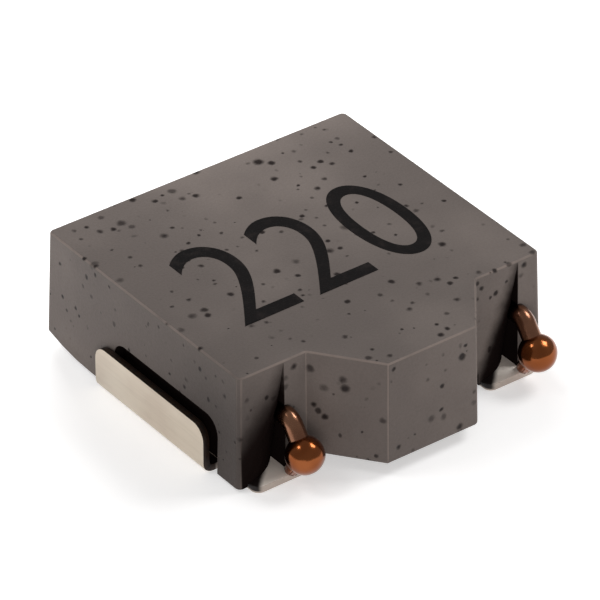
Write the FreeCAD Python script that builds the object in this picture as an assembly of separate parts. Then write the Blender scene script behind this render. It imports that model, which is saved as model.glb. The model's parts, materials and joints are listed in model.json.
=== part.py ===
"""Moulded-composite power inductor for surface mounting, 4 mm class.

A coil of round enamelled copper wire is moulded into one block of soft-magnetic
composite. Its two leads come out of scooped notches in the front face, bend down
and end in weld beads on two tinned sheet-metal terminals.

Units are millimetres. +Z is up. The origin lies on the seating plane, under the
middle of the whole outline. The front face looks towards -Y.
"""
import FreeCAD
import Part
import math
import os

Vector = FreeCAD.Vector

# Moulded body. Plan sizes are those of the top face, and the sides draft outwards below it.
body_width = 3.80
body_depth = 3.31
body_top_z = 1.37
draft_deg = 1.5
bay_depth = 0.67
bay_root_width = 2.15
bay_front_width = 1.11
body_corner_radius = 0.06
bay_corner_radius = 0.045
bay_root_radius = 0.03
top_edge_radius = 0.025
bay_bottom_radius = 0.05

# Underside: two rails stand lower than the middle, and their back ends sweep up.
foot_z = 0.045
underside_z = 0.155
channel_half_width = 1.115
ramp_length = 0.75
ramp_overrun = 1.2

# Winding: two flat spirals of round wire, one above the other.
wire_diameter = 0.21
turn_gap = 0.01
turns_per_layer = 3
coil_outer_radius = 1.485
coil_mid_z = 0.70
coil_behind_front = 1.60
crossover_extra_gap = 0.04
coil_flat_deg = 60
coil_seat_gap = 0.004

# Leads: straight out of the coil, aside to their notches, then ahead, down and into the beads.
lead_half_spacing = 1.485
lead_shift = 0.131
lead_z = 0.735
lead_straight = 0.50
jog_radius = 1.00
lead_bend_ahead = 0.12
lead_bend_radius = 0.15

# Lead notches: a conical scoop beside a flat wall, which half the lead is sunk into.
notch_width = 0.54
notch_depth = 0.26
notch_below_top = 0.03
notch_tip = 0.01

# Terminals, folded from sheet
sheet_thickness = 0.08
inside_bend_radius = 0.04
plate_gap = 0.003
plate_front = 0.453
plate_back = 2.335
plate_top_z = 0.555
plate_corner_radius = 0.17
pad_inner_x = 1.14
pad_corner_radius = 0.10
tongue_inner_x = 1.16
tongue_outer_x = 1.80
tongue_ahead = 0.15
tongue_corner_radius = 0.09

# Pockets that the terminals lie in
pocket_front = 0.333
pocket_back = 2.14
pocket_top_gap = 0.12
pocket_corner_radius = 0.20
pocket_depth = 0.10
pad_side_gap = 0.02
bend_relief = 0.03

# Weld beads
bead_radius = 0.205
bead_side_shift = 0.015
bead_ahead = 0.34
bead_z = 0.411
neck_ahead = 0.10
neck_radius = 0.055
neck_root_radius = 0.11

# Sizes that follow from the driving dimensions
half_width = body_width / 2
front_y = (bay_depth - body_depth) / 2
back_y = front_y + body_depth
wire_radius = wire_diameter / 2
turn_pitch = wire_diameter + turn_gap
coil_y = front_y + coil_behind_front
lower_layer_z = coil_mid_z - turn_pitch / 2
upper_layer_z = coil_mid_z + turn_pitch / 2
left_lead_x = lead_shift - lead_half_spacing
right_lead_x = lead_shift + lead_half_spacing
draft_slope = math.tan(math.radians(draft_deg))
plate_inner_x = half_width + draft_slope * (body_top_z - foot_z) + plate_gap
plate_outer_x = plate_inner_x + sheet_thickness
reach = 2 * (body_width + body_depth)
edge_tolerance = 0.001


def polygon_face(points):
    """Flat face with straight edges through the points, closed."""
    return Part.Face(Part.makePolygon(points + [points[0]]))


def offset_outline(points, distance):
    """Corner points of a counter-clockwise outline moved outwards by a distance."""
    moved = []
    for index, point in enumerate(points):
        before = point - points[index - 1]
        after = points[(index + 1) % len(points)] - point
        normal_a = Vector(before.y, -before.x, 0).normalize()
        normal_b = Vector(after.y, -after.x, 0).normalize()
        shift = (normal_a + normal_b) * (distance / (1 + normal_a.dot(normal_b)))
        moved.append(point + shift)
    return moved


def drafted_block(points, low_z, high_z, slope):
    """Solid whose top is the outline at high_z, widening downwards by the slope."""
    top = [Vector(p.x, p.y, high_z) for p in points]
    spread = offset_outline(points, slope * (high_z - low_z))
    low = [Vector(p.x, p.y, low_z) for p in spread]
    faces = [polygon_face(top), polygon_face(low[::-1])]
    for index in range(len(points)):
        following = (index + 1) % len(points)
        faces.append(polygon_face([low[index], low[following], top[following], top[index]]))
    return Part.Solid(Part.Shell(faces))


def arc_through(start, middle, end):
    """Circular edge through three points."""
    return Part.Arc(start, middle, end).toShape()


def edges_through(shape, points):
    """Edges of the shape that pass through one of the points."""
    found = []
    for edge in shape.Edges:
        for point in points:
            if edge.distToShape(Part.Vertex(point))[0] < edge_tolerance:
                found.append(edge)
                break
    return found


def to_side(shape, side):
    """The shape as modelled on the right, or mirrored to the left when side is -1."""
    if side > 0:
        return shape
    return shape.mirror(Vector(0, 0, 0), Vector(1, 0, 0))


def body_outline():
    """Plan of the top face, counter-clockwise: a rectangle with a trapezoid bay in front."""
    bay_y = front_y - bay_depth
    return [
        Vector(-half_width, front_y, 0),
        Vector(-bay_root_width / 2, front_y, 0),
        Vector(-bay_front_width / 2, bay_y, 0),
        Vector(bay_front_width / 2, bay_y, 0),
        Vector(bay_root_width / 2, front_y, 0),
        Vector(half_width, front_y, 0),
        Vector(half_width, back_y, 0),
        Vector(-half_width, back_y, 0),
    ]


def body_blank():
    """The drafted block with its rounded corners, before its underside is relieved."""
    points = body_outline()
    block = drafted_block(points, foot_z, body_top_z, draft_slope)
    middle_z = (foot_z + body_top_z) / 2
    at_middle = offset_outline(points, draft_slope * (body_top_z - middle_z))
    at_middle = [Vector(p.x, p.y, middle_z) for p in at_middle]
    rounds = [
        (body_corner_radius, [at_middle[0], at_middle[5], at_middle[6], at_middle[7]]),
        (bay_corner_radius, [at_middle[2], at_middle[3]]),
        (bay_root_radius, [at_middle[1], at_middle[4]]),
    ]
    for radius, corners in rounds:
        block = block.makeFillet(radius, edges_through(block, corners))
    rim = [edge for edge in block.Edges if edge.BoundBox.ZMin > body_top_z - edge_tolerance]
    return block.makeFillet(top_edge_radius, rim)


def middle_channel():
    """Space under the middle of the body, between the two rails, and under the bay."""
    return Part.makeBox(
        2 * channel_half_width, 2 * reach, underside_z,
        Vector(-channel_half_width, -reach, 0))


def back_ramp():
    """Space under the back ends of the rails, which sweep up to the underside's height."""
    rise = underside_z - foot_z
    radius = (ramp_length ** 2 + rise ** 2) / (2 * rise)
    foot_end = Vector(-reach, back_y - ramp_length, foot_z)
    centre = foot_end + Vector(0, 0, radius)
    overrun = ramp_length * ramp_overrun
    half_angle = math.asin(overrun / radius) / 2
    middle = centre + Vector(0, radius * math.sin(half_angle), -radius * math.cos(half_angle))
    high = centre + Vector(0, overrun, -math.sqrt(radius ** 2 - overrun ** 2))
    low = Vector(-reach, high.y, 0)
    start = Vector(-reach, foot_end.y, 0)
    wire = Part.Wire([
        arc_through(foot_end, middle, high),
        Part.makeLine(high, low),
        Part.makeLine(low, start),
        Part.makeLine(start, foot_end),
    ])
    return Part.Face(wire).extrude(Vector(2 * reach, 0, 0))


def notch_section(wall_x, apex_z, level_z):
    """Plan section of a lead notch at one height; it grows from nothing at the apex."""
    grown = (apex_z - level_z) / (apex_z - foot_z)
    width = notch_width * grown
    depth = notch_depth * grown
    face_y = front_y - draft_slope * (body_top_z - level_z)
    radius = (width ** 2 + depth ** 2) / (2 * depth)
    tangent = Vector(wall_x - width, face_y, level_z)
    deep = Vector(wall_x, face_y + depth, level_z)
    half_angle = math.asin(width / radius) / 2
    middle = tangent + Vector(radius * math.sin(half_angle), radius * (1 - math.cos(half_angle)), 0)
    tangent_ahead = tangent + Vector(0, -depth, 0)
    wall_end = Vector(wall_x, tangent_ahead.y, level_z)
    return Part.Wire([
        arc_through(tangent, middle, deep),
        Part.makeLine(deep, wall_end),
        Part.makeLine(wall_end, tangent_ahead),
        Part.makeLine(tangent_ahead, tangent),
    ])


def lead_notch(wall_x):
    """Scoop beside a lead: a flat wall on its right, a conical sweep on its left."""
    apex_z = body_top_z - notch_below_top
    sections = [notch_section(wall_x, apex_z, z) for z in (0, apex_z - notch_tip)]
    return Part.makeLoft(sections, True, True)


def side_pocket(side):
    """Pocket in a side face behind the terminal's plate, open at the bottom."""
    top_z = plate_top_z + pocket_top_gap
    depth_x = half_width - pocket_depth
    block = Part.makeBox(
        reach, pocket_back - pocket_front, 2 * top_z,
        Vector(depth_x, front_y + pocket_front, -top_z))
    tops = [
        Vector(depth_x + reach / 2, front_y + pocket_front, top_z),
        Vector(depth_x + reach / 2, front_y + pocket_back, top_z),
    ]
    block = block.makeFillet(pocket_corner_radius, edges_through(block, tops))
    return to_side(block, side)


def pad_pocket(side):
    """Shallow pocket in a rail for the terminal's pad and its tongue."""
    gap = pad_side_gap
    pad = Part.makeBox(
        reach, plate_back - plate_front + 2 * gap, 2 * sheet_thickness,
        Vector(pad_inner_x - gap, front_y + plate_front - gap, -sheet_thickness))
    tongue = Part.makeBox(
        tongue_outer_x - tongue_inner_x + 2 * gap, reach + plate_front, 2 * sheet_thickness,
        Vector(tongue_inner_x - gap, front_y - reach, -sheet_thickness))
    corner_x = plate_inner_x - inside_bend_radius - bend_relief
    corner_z = sheet_thickness + inside_bend_radius + bend_relief
    corner = Part.makeBox(
        reach, plate_back - plate_front + 2 * gap, 2 * corner_z,
        Vector(corner_x, front_y + plate_front - gap, -corner_z))
    return to_side(pad.fuse([tongue, corner]), side)


def spiral_crossings():
    """Where the wire crosses the coil's X axis, from the left lead to the right one."""
    crossings = []
    for turn in range(turns_per_layer):
        crossings.append(-(coil_outer_radius - turn * turn_pitch))
        crossings.append(coil_outer_radius - (turn + 0.5) * turn_pitch)
    inner = coil_outer_radius - turns_per_layer * turn_pitch - crossover_extra_gap
    crossings.append(-inner)
    return crossings + [-x for x in reversed(crossings)]


def coil_edges():
    """Half-turns of both layers, with the tilted half-turn that joins them inside."""
    crossings = spiral_crossings()
    crossover = len(crossings) // 2 - 1
    edges = []
    for index in range(len(crossings) - 1):
        start_z = lower_layer_z if index <= crossover else upper_layer_z
        end_z = lower_layer_z if index < crossover else upper_layer_z
        start = Vector(crossings[index], coil_y, start_z)
        end = Vector(crossings[index + 1], coil_y, end_z)
        bulge = (end - start).Length / 2
        towards_back = 1 if index % 2 == 0 else -1
        middle = (start + end) * 0.5 + Vector(0, towards_back * bulge, 0)
        edges.append(arc_through(start, middle, end))
    return edges


def jog_edges(start, end):
    """Two arcs that carry a wire running along Y sideways from one line to another."""
    offset = Vector(end.x - start.x, 0, end.z - start.z)
    aside = offset.Length
    turn = math.acos(1 - aside / (2 * jog_radius))
    run = 2 * jog_radius * math.sin(turn)
    sideways = Vector(offset).normalize()
    ahead = Vector(0, -1, 0)
    bend_a = start + ahead * (jog_radius * math.sin(turn / 2)) \
        + sideways * (jog_radius * (1 - math.cos(turn / 2)))
    half_way = start + ahead * (run / 2) + sideways * (aside / 2)
    finish = start + ahead * run + sideways * aside
    bend_b = finish - ahead * (jog_radius * math.sin(turn / 2)) \
        - sideways * (jog_radius * (1 - math.cos(turn / 2)))
    return [
        arc_through(start, bend_a, half_way),
        arc_through(half_way, bend_b, finish),
    ], finish


def rounded_corner(before, corner, after, radius):
    """Line, tangent arc and line along before, corner and after."""
    leg_in = (before - corner).normalize()
    leg_out = (after - corner).normalize()
    half = leg_in.getAngle(leg_out) / 2
    tangent = radius / math.tan(half)
    towards_centre = (leg_in + leg_out).normalize()
    centre = corner + towards_centre * (radius / math.sin(half))
    arc_start = corner + leg_in * tangent
    arc_end = corner + leg_out * tangent
    arc_middle = centre - towards_centre * radius
    return [
        Part.makeLine(before, arc_start),
        arc_through(arc_start, arc_middle, arc_end),
        Part.makeLine(arc_end, after),
    ]


def bead_centre(lead_x):
    """Middle of the weld bead of the lead at lead_x."""
    return Vector(lead_x + bead_side_shift, front_y - bead_ahead, bead_z)


def lead_edges(lead_x, coil_end):
    """One lead from the coil: jog to its line, run out of the notch, bend to the bead."""
    jog_start = coil_end + Vector(0, -lead_straight, 0)
    edges, finish = jog_edges(jog_start, Vector(lead_x, 0, lead_z))
    edges.insert(0, Part.makeLine(coil_end, jog_start))
    corner = Vector(lead_x, front_y - lead_bend_ahead, lead_z)
    return edges + rounded_corner(finish, corner, bead_centre(lead_x), lead_bend_radius)


def wire_along(edges, flat_deg):
    """Wire of full length along the edges: round, or with flats of so many degrees each."""
    path = Part.Wire(Part.__sortEdges__(edges))
    start = path.OrderedVertexes[0].Point
    first = path.OrderedEdges[0]
    along = first.tangentAt(first.FirstParameter)
    ring = Part.makeCircle(wire_radius, start, along)
    section = Part.Wire(ring)
    if flat_deg:
        section = Part.makePolygon(ring.discretize(round(360 / flat_deg) + 1))
    return path.makePipeShell([section], True, False)


def lead_wires():
    """Both round leads, each from its end of the coil to its weld bead."""
    crossings = spiral_crossings()
    left_end = Vector(crossings[0], coil_y, lower_layer_z)
    right_end = Vector(crossings[-1], coil_y, upper_layer_z)
    return [
        wire_along(lead_edges(left_lead_x, left_end), 0),
        wire_along(lead_edges(right_lead_x, right_end), 0),
    ]


def winding():
    """The whole wire. Inside the coil its section has flats, to keep the face count low."""
    return wire_along(coil_edges(), coil_flat_deg).fuse(lead_wires())


def half_ring(outer_span, inner_span, low_z, high_z, towards_back):
    """Half of a flat ring across the coil's X axis, at its back or its front."""
    halves = []
    for low_x, high_x in (outer_span, inner_span):
        foot = Vector((low_x + high_x) / 2, coil_y, low_z)
        disc = Part.makeCylinder((high_x - low_x) / 2, high_z - low_z, foot, Vector(0, 0, 1), 180)
        if not towards_back:
            disc.rotate(foot, Vector(0, 0, 1), 180)
        halves.append(disc)
    return halves[0].cut(halves[1])


def layer_seat(first, low_z, high_z):
    """Space that one layer of turns fills. first is the index of its first crossing."""
    crossings = spiral_crossings()
    own = crossings[first:first + len(crossings) // 2]
    spread = wire_radius + coil_seat_gap
    rings = []
    for towards_back in (True, False):
        starts = [i for i in range(len(own) - 1) if ((first + i) % 2 == 0) == towards_back]
        spans = sorted((sorted((own[i], own[i + 1])) for i in starts), key=lambda s: s[1] - s[0])
        outer_span = (spans[-1][0] - spread, spans[-1][1] + spread)
        inner_span = (spans[0][0] + spread, spans[0][1] - spread)
        rings.append(half_ring(outer_span, inner_span, low_z, high_z, towards_back))
    return rings


def coil_seat():
    """The coil's place in the block: both layers and the half turn that joins them."""
    spread = wire_radius + coil_seat_gap
    low_z = lower_layer_z - spread
    high_z = upper_layer_z + spread
    crossings = spiral_crossings()
    inner = abs(crossings[len(crossings) // 2])
    layers = layer_seat(0, low_z, coil_mid_z) \
        + layer_seat(len(crossings) // 2, coil_mid_z, high_z)
    bulge = math.hypot(inner, turn_pitch / 2)
    outer_span = (-bulge - spread, bulge + spread)
    inner_span = (-inner + spread, inner - spread)
    crossover = half_ring(outer_span, inner_span, low_z, high_z, True)
    return crossover.fuse(layers)


def terminal(side):
    """Folded sheet: solder pad, plate up the side face and tongue under the lead."""
    low_bend = plate_inner_x - inside_bend_radius
    bend_z = sheet_thickness + inside_bend_radius
    outer_bend = inside_bend_radius + sheet_thickness
    centre = Vector(low_bend, front_y + plate_front, bend_z)
    diagonal = Vector(math.sqrt(0.5), 0, -math.sqrt(0.5))
    corners = [
        Vector(pad_inner_x, centre.y, 0),
        Vector(low_bend, centre.y, 0),
        Vector(plate_outer_x, centre.y, bend_z),
        Vector(plate_outer_x, centre.y, plate_top_z),
        Vector(plate_inner_x, centre.y, plate_top_z),
        Vector(plate_inner_x, centre.y, bend_z),
        Vector(low_bend, centre.y, sheet_thickness),
        Vector(pad_inner_x, centre.y, sheet_thickness),
    ]
    profile = Part.Wire([
        Part.makeLine(corners[0], corners[1]),
        arc_through(corners[1], centre + diagonal * outer_bend, corners[2]),
        Part.makeLine(corners[2], corners[3]),
        Part.makeLine(corners[3], corners[4]),
        Part.makeLine(corners[4], corners[5]),
        arc_through(corners[5], centre + diagonal * inside_bend_radius, corners[6]),
        Part.makeLine(corners[6], corners[7]),
        Part.makeLine(corners[7], corners[0]),
    ])
    length = plate_back - plate_front
    strip = Part.Face(profile).extrude(Vector(0, length, 0))
    plate_x = (plate_inner_x + plate_outer_x) / 2
    plate_corners = [
        Vector(plate_x, centre.y, plate_top_z),
        Vector(plate_x, centre.y + length, plate_top_z),
    ]
    strip = strip.makeFillet(plate_corner_radius, edges_through(strip, plate_corners))
    pad_corner = [Vector(pad_inner_x, centre.y + length, sheet_thickness / 2)]
    strip = strip.makeFillet(pad_corner_radius, edges_through(strip, pad_corner))
    tongue_y = front_y - tongue_ahead
    tongue = Part.makeBox(
        tongue_outer_x - tongue_inner_x, plate_front + tongue_ahead, sheet_thickness,
        Vector(tongue_inner_x, tongue_y, 0))
    tips = [
        Vector(tongue_inner_x, tongue_y, sheet_thickness / 2),
        Vector(tongue_outer_x, tongue_y, sheet_thickness / 2),
    ]
    tongue = tongue.makeFillet(tongue_corner_radius, edges_through(tongue, tips))
    return to_side(strip.fuse(tongue).removeSplitter(), side)


def weld_bead(lead_x, wire):
    """Ball of weld metal round the lead's end, with a neck down to the terminal's tongue."""
    centre = bead_centre(lead_x)
    ball = Part.makeSphere(bead_radius, centre)
    foot = Vector(centre.x, front_y - neck_ahead, sheet_thickness)
    axis = foot - centre
    overrun = neck_radius
    neck = Part.makeCone(
        neck_root_radius, neck_radius, axis.Length + overrun, centre, axis)
    keep = Part.makeBox(reach, reach, reach, Vector(-reach / 2, -reach / 2, sheet_thickness))
    return ball.fuse(neck).common(keep).cut(wire)


def moulded_body():
    """The composite block: relieved underside, lead notches, pockets and the coil's seat."""
    block = body_blank()
    cutters = [middle_channel(), back_ramp()]
    block = block.cut(cutters)
    bay_front_y = front_y - bay_depth - draft_slope * (body_top_z - underside_z)
    bottom = [Vector(0, bay_front_y, underside_z)]
    block = block.makeFillet(bay_bottom_radius, edges_through(block, bottom))
    for side in (-1, 1):
        block = block.cut([side_pocket(side), pad_pocket(side)])
    for wall_x in (left_lead_x, right_lead_x):
        block = block.cut(lead_notch(wall_x))
    return block.cut(coil_seat()).cut(lead_wires())


def main():
    """Build every piece and write one STEP file for each."""
    os.makedirs("parts", exist_ok=True)
    wire = winding()
    pieces = {
        "moulded_body": moulded_body(),
        "winding": wire,
        "terminal_left": terminal(-1),
        "terminal_right": terminal(1),
        "weld_bead_left": weld_bead(left_lead_x, wire),
        "weld_bead_right": weld_bead(right_lead_x, wire),
    }
    for name, shape in pieces.items():
        if len(shape.Solids) != 1:
            raise ValueError(name + " is not one solid")
        solid = shape.Solids[0]
        print(name, solid.isValid(), round(solid.Volume, 5), solid.BoundBox)
        solid.exportStep("parts/" + name + ".step")


main()
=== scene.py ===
"""Studio scene of a moulded power inductor for surface mounting.

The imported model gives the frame. This script dresses the pressed block, winds the wire
again as a smooth round bar, forms the weld beads and the folded terminals, prints plain
numerals on the top face, and sets up a pale studio with its lamps and camera.

Sizes are written in millimetres, as in the part's source, and become metres in the meshes.
"""

import json
import logging
import math
from collections.abc import Callable
from dataclasses import dataclass, field
from enum import Enum
from functools import reduce

import bpy
from mathutils import Matrix, Vector

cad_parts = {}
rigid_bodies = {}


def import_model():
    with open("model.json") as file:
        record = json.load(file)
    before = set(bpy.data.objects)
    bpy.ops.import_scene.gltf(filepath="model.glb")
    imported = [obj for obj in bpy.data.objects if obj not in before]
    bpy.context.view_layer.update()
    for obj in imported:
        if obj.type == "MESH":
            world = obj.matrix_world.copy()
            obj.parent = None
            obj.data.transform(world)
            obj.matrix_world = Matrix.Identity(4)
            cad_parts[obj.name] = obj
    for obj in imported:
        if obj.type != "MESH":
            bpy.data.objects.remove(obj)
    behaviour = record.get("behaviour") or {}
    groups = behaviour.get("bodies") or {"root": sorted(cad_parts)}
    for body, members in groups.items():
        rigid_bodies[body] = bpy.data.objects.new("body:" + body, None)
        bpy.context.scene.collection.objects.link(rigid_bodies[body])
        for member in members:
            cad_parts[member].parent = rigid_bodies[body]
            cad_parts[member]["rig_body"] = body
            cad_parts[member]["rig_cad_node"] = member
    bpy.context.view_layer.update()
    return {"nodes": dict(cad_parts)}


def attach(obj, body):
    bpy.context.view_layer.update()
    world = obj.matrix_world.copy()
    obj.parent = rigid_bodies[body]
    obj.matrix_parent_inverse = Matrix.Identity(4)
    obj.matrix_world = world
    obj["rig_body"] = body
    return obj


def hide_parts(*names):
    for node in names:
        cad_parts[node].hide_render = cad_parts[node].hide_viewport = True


LOG = logging.getLogger("inductor")
MM = 0.001
BODY = "root"
Colour = tuple[float, float, float]
Point = tuple[float, float, float]
# The two values between which a soft change runs, such as the edge of a field of painted shade.
Span = tuple[float, float]


class Side(Enum):
    """The two ends of the part, by the sign of X."""

    LEFT = -1
    RIGHT = 1

    def named(self, stem: str) -> str:
        """Name of a node or piece of this side."""
        return f"{stem}_{self.name.lower()}"


class Blend(Enum):
    """How two colours are laid over each other."""

    OVER = "MIX"
    SHADE = "MULTIPLY"


class Kind(Enum):
    """Kinds of mesh elements, with the lists that hold them."""

    VERT = "vertices"
    EDGE = "edges"
    FACE = "polygons"


# Places that several pieces and finishes share: the front face, the two leads, and the
# line across which the tongues begin.
FRONT_Y = -1.32
LEADS_X = {Side.LEFT: -1.354, Side.RIGHT: 1.616}
TONGUE_Y: Span = (-0.90, -0.85)


def metres(point: Vector | Point) -> Vector:
    """The point, written in millimetres, as a vector in metres."""
    return Vector(point) * MM


def srgb(red: int, green: int, blue: int) -> Colour:
    """Linear colour of a screen colour with 8-bit channels.

    Args:
        red: Red channel, 0 to 255.
        green: Green channel, 0 to 255.
        blue: Blue channel, 0 to 255.

    Returns:
        The colour as the shader sockets take it.
    """
    def linear(channel: int) -> float:
        """One channel without its screen curve."""
        share = channel / 255
        return share / 12.92 if share <= 0.04045 else ((share + 0.055) / 1.055) ** 2.4

    return linear(red), linear(green), linear(blue)


# Near-black colour of painted shade: the shadows in the lead notches, the side pockets, on the
# tongues and towards the front-left corner.
PAINTED_SHADE = srgb(24, 18, 17)


class Bench:
    """One mesh object that is shaped in edit mode, as by hand."""

    def __init__(self, piece: bpy.types.Object) -> None:
        """Take a mesh object to the bench.

        Args:
            piece: The object that the edits go to.
        """
        self.piece = piece

    @staticmethod
    def clear() -> None:
        """Leave nothing selected and no object in edit mode."""
        if bpy.context.object and bpy.context.object.mode != "OBJECT":
            bpy.ops.object.mode_set(mode="OBJECT")
        bpy.ops.object.select_all(action="DESELECT")

    @classmethod
    def latest(cls, name: str) -> "Bench":
        """Bench with the object that the last operator made.

        Args:
            name: The new name of the object.

        Returns:
            The bench, with its piece active.
        """
        piece = bpy.context.object
        piece.name = name
        piece.data.name = name
        return cls(piece)

    def focus(self) -> None:
        """Make the piece the active object, and the only selected one."""
        self.clear()
        self.piece.select_set(True)
        bpy.context.view_layer.objects.active = self.piece

    def edit(self) -> None:
        """Go into edit mode with nothing selected."""
        self.focus()
        bpy.ops.object.mode_set(mode="EDIT")
        bpy.ops.mesh.select_mode(type="VERT")
        bpy.ops.mesh.select_all(action="DESELECT")

    def edit_all(self) -> None:
        """Go into edit mode with the whole mesh selected."""
        self.edit()
        bpy.ops.mesh.select_all(action="SELECT")

    def done(self) -> None:
        """Leave edit mode."""
        bpy.ops.object.mode_set(mode="OBJECT")

    def close_up(self, gap: float = 0.0) -> None:
        """Turn all faces outwards and leave edit mode.

        Args:
            gap: Points nearer than this, in millimetres, are merged first.
        """
        bpy.ops.mesh.select_all(action="SELECT")
        if gap:
            bpy.ops.mesh.remove_doubles(threshold=gap * MM)
        bpy.ops.mesh.normals_make_consistent(inside=False)
        self.done()

    def pick(self, kind: Kind, wanted: Callable[..., bool]) -> None:
        """Select the elements of one kind that pass a test, and nothing else.

        Args:
            kind: Which elements.
            wanted: Test of one element.
        """
        bpy.ops.mesh.select_mode(type=kind.name)
        bpy.ops.mesh.select_all(action="DESELECT")
        bpy.ops.object.mode_set(mode="OBJECT")
        for element in getattr(self.piece.data, kind.value):
            if wanted(element):
                element.select = True
        bpy.ops.object.mode_set(mode="EDIT")

    def edge_middle(self, edge: bpy.types.MeshEdge) -> Vector:
        """Middle of an edge, in millimetres."""
        first, second = (self.piece.data.vertices[i].co for i in edge.vertices)
        return (first + second) / 2 / MM

    @staticmethod
    def extrude(step: Vector | Point) -> None:
        """Extrude what is selected by a step in millimetres."""
        bpy.ops.mesh.extrude_region_move(TRANSFORM_OT_translate={"value": tuple(metres(step))})

    @staticmethod
    def spin(steps: int, angle: float, centre: Vector, axis: Vector | Point) -> None:
        """Spin what is selected about an axis.

        Args:
            steps: Number of steps.
            angle: Whole angle, in radians.
            centre: A point of the axis, in millimetres.
            axis: Direction of the axis.
        """
        bpy.ops.mesh.spin(
            steps=steps, dupli=False, angle=-angle, use_auto_merge=False,
            center=tuple(metres(centre)), axis=tuple(axis))

    def modify(self, kind: str, **values: object) -> None:
        """Add one modifier and apply it.

        Args:
            kind: Type of the modifier.
            **values: Its settings.
        """
        self.focus()
        modifier = self.piece.modifiers.new(kind.title(), kind)
        for name, value in values.items():
            setattr(modifier, name, value)
        bpy.ops.object.modifier_apply(modifier=modifier.name)

    def smooth(self, degrees: float) -> None:
        """Shade smooth, with edges sharper than the angle left crisp.

        Args:
            degrees: Angle between faces above which an edge stays crisp.
        """
        self.focus()
        bpy.ops.object.shade_smooth_by_angle(angle=math.radians(degrees))

    def settle(self) -> None:
        """Put the object's place, turn and size into its mesh."""
        self.focus()
        bpy.ops.object.transform_apply(location=True, rotation=True, scale=True)


@dataclass(frozen=True)
class Noise:
    """One soft noise of a finish.

    Attributes:
        per_mm: About how many lumps it has to the millimetre.
        detail: How many finer layers it has.
        rough: How strong the finer layers are.
        span: Values between which it rises from 0 to 1, or None for the noise itself.
    """

    per_mm: float
    detail: float = 2.0
    rough: float = 0.5
    span: Span | None = None


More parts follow.
